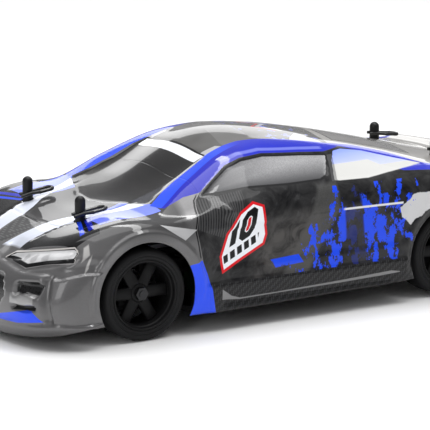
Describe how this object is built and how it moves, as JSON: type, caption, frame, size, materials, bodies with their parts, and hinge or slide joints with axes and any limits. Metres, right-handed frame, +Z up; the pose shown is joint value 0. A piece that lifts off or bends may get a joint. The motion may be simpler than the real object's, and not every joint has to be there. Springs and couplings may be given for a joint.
{
  "type": "remote control car",
  "caption": "Four-wheel-drive remote control touring car: printed body shell on posts with clips over a chassis with steering, suspension and shaft drive.",
  "frame": {"origin": "middle of the car on the floor, below the centre of its bounding box", "axes": "+X forward, +Y to the car's left, +Z up"},
  "size_m": [0.2815, 0.1268, 0.0846],
  "materials": {
    "alloy": "satin",
    "battery_wrap": "gloss",
    "black_plastic": "satin",
    "brass_gear": "satin",
    "clip_wire": "satin",
    "foam": "matte",
    "motor_steel": "satin",
    "rim_plastic": "satin",
    "shell_print": "gloss",
    "steel": "satin",
    "strap": "matte",
    "switch_red": "gloss",
    "tyre_rubber": "matte"
  },
  "bodies": {
    "chassis": {"chassis_tub": "black_plastic", "front_bumper": "foam", "front_gearbox": "black_plastic", "rear_gearbox": "black_plastic", "front_tower": "black_plastic", "rear_tower": "black_plastic", "body_posts": "black_plastic", "motor_can": "motor_steel", "servo": "black_plastic", "battery": "battery_wrap", "battery_strap": "strap", "speed_control": "black_plastic", "hinge_pins": "steel", "shock_springs": "steel"},
    "shell": {"body_shell": "shell_print"},
    "clip_front_left": {"clip_front_left": "clip_wire"},
    "clip_front_right": {"clip_front_right": "clip_wire"},
    "clip_rear_left": {"clip_rear_left": "clip_wire"},
    "clip_rear_right": {"clip_rear_right": "clip_wire"},
    "lower_arm_fl": {"lower_arm_fl": "black_plastic"},
    "shock_body_fl": {"shock_body_fl": "alloy"},
    "shock_rod_fl": {"shock_rod_fl": "steel"},
    "wheel_fl": {"axle_fl": "steel", "rim_fl": "rim_plastic", "tyre_fl": "tyre_rubber"},
    "lower_arm_fr": {"lower_arm_fr": "black_plastic"},
    "shock_body_fr": {"shock_body_fr": "alloy"},
    "shock_rod_fr": {"shock_rod_fr": "steel"},
    "wheel_fr": {"axle_fr": "steel", "rim_fr": "rim_plastic", "tyre_fr": "tyre_rubber"},
    "lower_arm_rl": {"lower_arm_rl": "black_plastic"},
    "shock_body_rl": {"shock_body_rl": "alloy"},
    "shock_rod_rl": {"shock_rod_rl": "steel"},
    "wheel_rl": {"axle_rl": "steel", "rim_rl": "rim_plastic", "tyre_rl": "tyre_rubber"},
    "lower_arm_rr": {"lower_arm_rr": "black_plastic"},
    "shock_body_rr": {"shock_body_rr": "alloy"},
    "shock_rod_rr": {"shock_rod_rr": "steel"},
    "wheel_rr": {"axle_rr": "steel", "rim_rr": "rim_plastic", "tyre_rr": "tyre_rubber"},
    "upper_arm_left": {"upper_arm_left": "black_plastic"},
    "c_hub_left": {"c_hub_left": "black_plastic"},
    "knuckle_left": {"knuckle_left": "black_plastic"},
    "dogbone_left": {"dogbone_left": "steel"},
    "tie_rod_left": {"tie_rod_left": "black_plastic"},
    "upper_arm_right": {"upper_arm_right": "black_plastic"},
    "c_hub_right": {"c_hub_right": "black_plastic"},
    "knuckle_right": {"knuckle_right": "black_plastic"},
    "dogbone_right": {"dogbone_right": "steel"},
    "tie_rod_right": {"tie_rod_right": "black_plastic"},
    "servo_horn": {"servo_horn": "steel"},
    "drag_link": {"drag_link": "black_plastic"},
    "centre_shaft": {"centre_shaft": "steel"},
    "motor_pinion": {"motor_pinion": "brass_gear"},
    "front_diff": {"front_diff": "steel"},
    "rear_diff": {"rear_diff": "steel"},
    "power_switch": {"power_switch": "switch_red"}
  },
  "joints": [
    {"name": "shell_lift", "type": "slide", "parent": "chassis", "child": "shell", "axis": [0, 0, 1], "range_m": [0, 0.0004]},
    {"name": "clip_front_left_pull", "type": "slide", "parent": "chassis", "child": "clip_front_left", "axis": [-0.9903, 0, 0.1392], "range_m": [0, 0.0075]},
    {"name": "clip_front_right_pull", "type": "slide", "parent": "chassis", "child": "clip_front_right", "axis": [-0.9903, 0, 0.1392], "range_m": [0, 0.0075]},
    {"name": "clip_rear_left_pull", "type": "slide", "parent": "chassis", "child": "clip_rear_left", "axis": [-0.9945, 0, -0.1045], "range_m": [0, 0.0075]},
    {"name": "clip_rear_right_pull", "type": "slide", "parent": "chassis", "child": "clip_rear_right", "axis": [-0.9945, 0, -0.1045], "range_m": [0, 0.0075]},
    {"name": "suspension_fl", "type": "hinge", "parent": "chassis", "child": "lower_arm_fl", "pos_m": [0.08, 0.016, 0.012], "axis": [1, 0, 0], "range_deg": [-7, 7], "stiffness_Nm_per_rad": 0.36, "springref_deg": -5.16, "deforming": ["shock_springs"]},
    {"name": "shock_swing_fl", "type": "hinge", "parent": "chassis", "child": "shock_body_fl", "pos_m": [0.0898, 0.02, 0.044], "axis": [1, 0, 0], "range_deg": [-0.5, 0.5]},
    {"name": "shock_rod_hinge_fl", "type": "hinge", "parent": "lower_arm_fl", "child": "shock_rod_fl", "pos_m": [0.0898, 0.029, 0.014], "axis": [1, 0, 0], "range_deg": [-7, 7]},
    {"name": "suspension_fr", "type": "hinge", "parent": "chassis", "child": "lower_arm_fr", "pos_m": [0.08, -0.016, 0.012], "axis": [-1, 0, 0], "range_deg": [-7, 7], "stiffness_Nm_per_rad": 0.36, "springref_deg": -5.16, "deforming": ["shock_springs"]},
    {"name": "shock_swing_fr", "type": "hinge", "parent": "chassis", "child": "shock_body_fr", "pos_m": [0.0898, -0.02, 0.044], "axis": [-1, 0, 0], "range_deg": [-0.5, 0.5]},
    {"name": "shock_rod_hinge_fr", "type": "hinge", "parent": "lower_arm_fr", "child": "shock_rod_fr", "pos_m": [0.0898, -0.029, 0.014], "axis": [-1, 0, 0], "range_deg": [-7, 7]},
    {"name": "suspension_rl", "type": "hinge", "parent": "chassis", "child": "lower_arm_rl", "pos_m": [-0.09, 0.016, 0.012], "axis": [1, 0, 0], "range_deg": [-7, 7], "stiffness_Nm_per_rad": 0.85, "springref_deg": -3.44, "deforming": ["shock_springs"]},
    {"name": "shock_swing_rl", "type": "hinge", "parent": "chassis", "child": "shock_body_rl", "pos_m": [-0.0998, 0.02, 0.044], "axis": [1, 0, 0], "range_deg": [-0.5, 0.5]},
    {"name": "shock_rod_hinge_rl", "type": "hinge", "parent": "lower_arm_rl", "child": "shock_rod_rl", "pos_m": [-0.0998, 0.029, 0.014], "axis": [1, 0, 0], "range_deg": [-7, 7]},
    {"name": "suspension_rr", "type": "hinge", "parent": "chassis", "child": "lower_arm_rr", "pos_m": [-0.09, -0.016, 0.012], "axis": [-1, 0, 0], "range_deg": [-7, 7], "stiffness_Nm_per_rad": 0.85, "springref_deg": -3.44, "deforming": ["shock_springs"]},
    {"name": "shock_swing_rr", "type": "hinge", "parent": "chassis", "child": "shock_body_rr", "pos_m": [-0.0998, -0.02, 0.044], "axis": [-1, 0, 0], "range_deg": [-0.5, 0.5]},
    {"name": "shock_rod_hinge_rr", "type": "hinge", "parent": "lower_arm_rr", "child": "shock_rod_rr", "pos_m": [-0.0998, -0.029, 0.014], "axis": [-1, 0, 0], "range_deg": [-7, 7]},
    {"name": "wheel_spin_rl", "type": "hinge", "parent": "lower_arm_rl", "child": "wheel_rl", "pos_m": [-0.09, 0.05, 0.0215], "axis": [0, 1, 0], "continuous": true},
    {"name": "wheel_spin_rr", "type": "hinge", "parent": "lower_arm_rr", "child": "wheel_rr", "pos_m": [-0.09, -0.05, 0.0215], "axis": [0, 1, 0], "continuous": true},
    {"name": "upper_arm_hinge_left", "type": "hinge", "parent": "chassis", "child": "upper_arm_left", "pos_m": [0.08, 0.016, 0.031], "axis": [1, 0, 0], "range_deg": [-7, 7]},
    {"name": "c_hub_hinge_left", "type": "hinge", "parent": "lower_arm_fl", "child": "c_hub_left", "pos_m": [0.08, 0.038, 0.012], "axis": [1, 0, 0], "range_deg": [-7, 7]},
    {"name": "kingpin_left", "type": "hinge", "parent": "c_hub_left", "child": "knuckle_left", "pos_m": [0.08, 0.038, 0.0215], "axis": [0, 0, 1], "range_deg": [-22, 22]},
    {"name": "dogbone_spin_left", "type": "hinge", "parent": "lower_arm_fl", "child": "dogbone_left", "pos_m": [0.08, 0.027, 0.0215], "axis": [0, 1, 0], "continuous": true},
    {"name": "wheel_spin_fl", "type": "hinge", "parent": "knuckle_left", "child": "wheel_fl", "pos_m": [0.08, 0.05, 0.0215], "axis": [0, 1, 0], "continuous": true},
    {"name": "upper_arm_hinge_right", "type": "hinge", "parent": "chassis", "child": "upper_arm_right", "pos_m": [0.08, -0.016, 0.031], "axis": [-1, 0, 0], "range_deg": [-7, 7]},
    {"name": "c_hub_hinge_right", "type": "hinge", "parent": "lower_arm_fr", "child": "c_hub_right", "pos_m": [0.08, -0.038, 0.012], "axis": [-1, 0, 0], "range_deg": [-7, 7]},
    {"name": "kingpin_right", "type": "hinge", "parent": "c_hub_right", "child": "knuckle_right", "pos_m": [0.08, -0.038, 0.0215], "axis": [0, 0, 1], "range_deg": [-22, 22]},
    {"name": "dogbone_spin_right", "type": "hinge", "parent": "lower_arm_fr", "child": "dogbone_right", "pos_m": [0.08, -0.027, 0.0215], "axis": [0, 1, 0], "continuous": true},
    {"name": "wheel_spin_fr", "type": "hinge", "parent": "knuckle_right", "child": "wheel_fr", "pos_m": [0.08, -0.05, 0.0215], "axis": [0, 1, 0], "continuous": true},
    {"name": "steering", "type": "hinge", "parent": "chassis", "child": "servo_horn", "pos_m": [0.052, 0.013, 0.029], "axis": [0, 0, 1], "range_deg": [-22, 22]},
    {"name": "drag_link_pin", "type": "hinge", "parent": "servo_horn", "child": "drag_link", "pos_m": [0.039, 0.013, 0.032], "axis": [0, 0, 1], "range_deg": [-22, 22]},
    {"name": "tie_rod_swing_left", "type": "hinge", "parent": "drag_link", "child": "tie_rod_left", "pos_m": [0.067, 0.016, 0.024], "axis": [1, 0, 0], "range_deg": [-7, 7]},
    {"name": "tie_rod_swing_right", "type": "hinge", "parent": "drag_link", "child": "tie_rod_right", "pos_m": [0.067, -0.016, 0.024], "axis": [-1, 0, 0], "range_deg": [-7, 7]},
    {"name": "front_diff_spin", "type": "hinge", "parent": "chassis", "child": "front_diff", "pos_m": [0.08, 0, 0.0215], "axis": [0, 1, 0], "continuous": true},
    {"name": "rear_diff_spin", "type": "hinge", "parent": "chassis", "child": "rear_diff", "pos_m": [-0.09, 0, 0.0215], "axis": [0, 1, 0], "continuous": true},
    {"name": "centre_shaft_spin", "type": "hinge", "parent": "chassis", "child": "centre_shaft", "pos_m": [0, 0, 0.0215], "axis": [1, 0, 0], "continuous": true},
    {"name": "motor_spin", "type": "hinge", "parent": "chassis", "child": "motor_pinion", "pos_m": [-0.01, -0.018, 0.0215], "axis": [1, 0, 0], "continuous": true},
    {"name": "switch_slide", "type": "slide", "parent": "chassis", "child": "power_switch", "axis": [1, 0, 0], "range_m": [0, 0.003]}
  ],
  "couplings": [
    {"joint": "shock_swing_fl", "follows": "suspension_fl", "ratio": 0.056},
    {"joint": "shock_rod_hinge_fl", "follows": "suspension_fl", "ratio": -0.944},
    {"joint": "shock_swing_fr", "follows": "suspension_fr", "ratio": 0.056},
    {"joint": "shock_rod_hinge_fr", "follows": "suspension_fr", "ratio": -0.944},
    {"joint": "shock_swing_rl", "follows": "suspension_rl", "ratio": 0.056},
    {"joint": "shock_rod_hinge_rl", "follows": "suspension_rl", "ratio": -0.944},
    {"joint": "shock_swing_rr", "follows": "suspension_rr", "ratio": 0.056},
    {"joint": "shock_rod_hinge_rr", "follows": "suspension_rr", "ratio": -0.944},
    {"joint": "wheel_spin_rr", "follows": "wheel_spin_rl", "ratio": 1},
    {"joint": "upper_arm_hinge_left", "follows": "suspension_fl", "ratio": 1},
    {"joint": "c_hub_hinge_left", "follows": "suspension_fl", "ratio": -1},
    {"joint": "kingpin_left", "follows": "steering", "ratio": 1},
    {"joint": "dogbone_spin_left", "follows": "wheel_spin_rl", "ratio": 1},
    {"joint": "wheel_spin_fl", "follows": "wheel_spin_rl", "ratio": 1},
    {"joint": "upper_arm_hinge_right", "follows": "suspension_fr", "ratio": 1},
    {"joint": "c_hub_hinge_right", "follows": "suspension_fr", "ratio": -1},
    {"joint": "kingpin_right", "follows": "steering", "ratio": 1},
    {"joint": "dogbone_spin_right", "follows": "wheel_spin_rl", "ratio": 1},
    {"joint": "wheel_spin_fr", "follows": "wheel_spin_rl", "ratio": 1},
    {"joint": "drag_link_pin", "follows": "steering", "ratio": -1},
    {"joint": "tie_rod_swing_left", "follows": "suspension_fl", "ratio": 1},
    {"joint": "tie_rod_swing_right", "follows": "suspension_fr", "ratio": 1},
    {"joint": "front_diff_spin", "follows": "wheel_spin_rl", "ratio": 1},
    {"joint": "rear_diff_spin", "follows": "wheel_spin_rl", "ratio": 1},
    {"joint": "centre_shaft_spin", "follows": "wheel_spin_rl", "ratio": 2.6},
    {"joint": "motor_spin", "follows": "wheel_spin_rl", "ratio": -5.2}
  ]
}
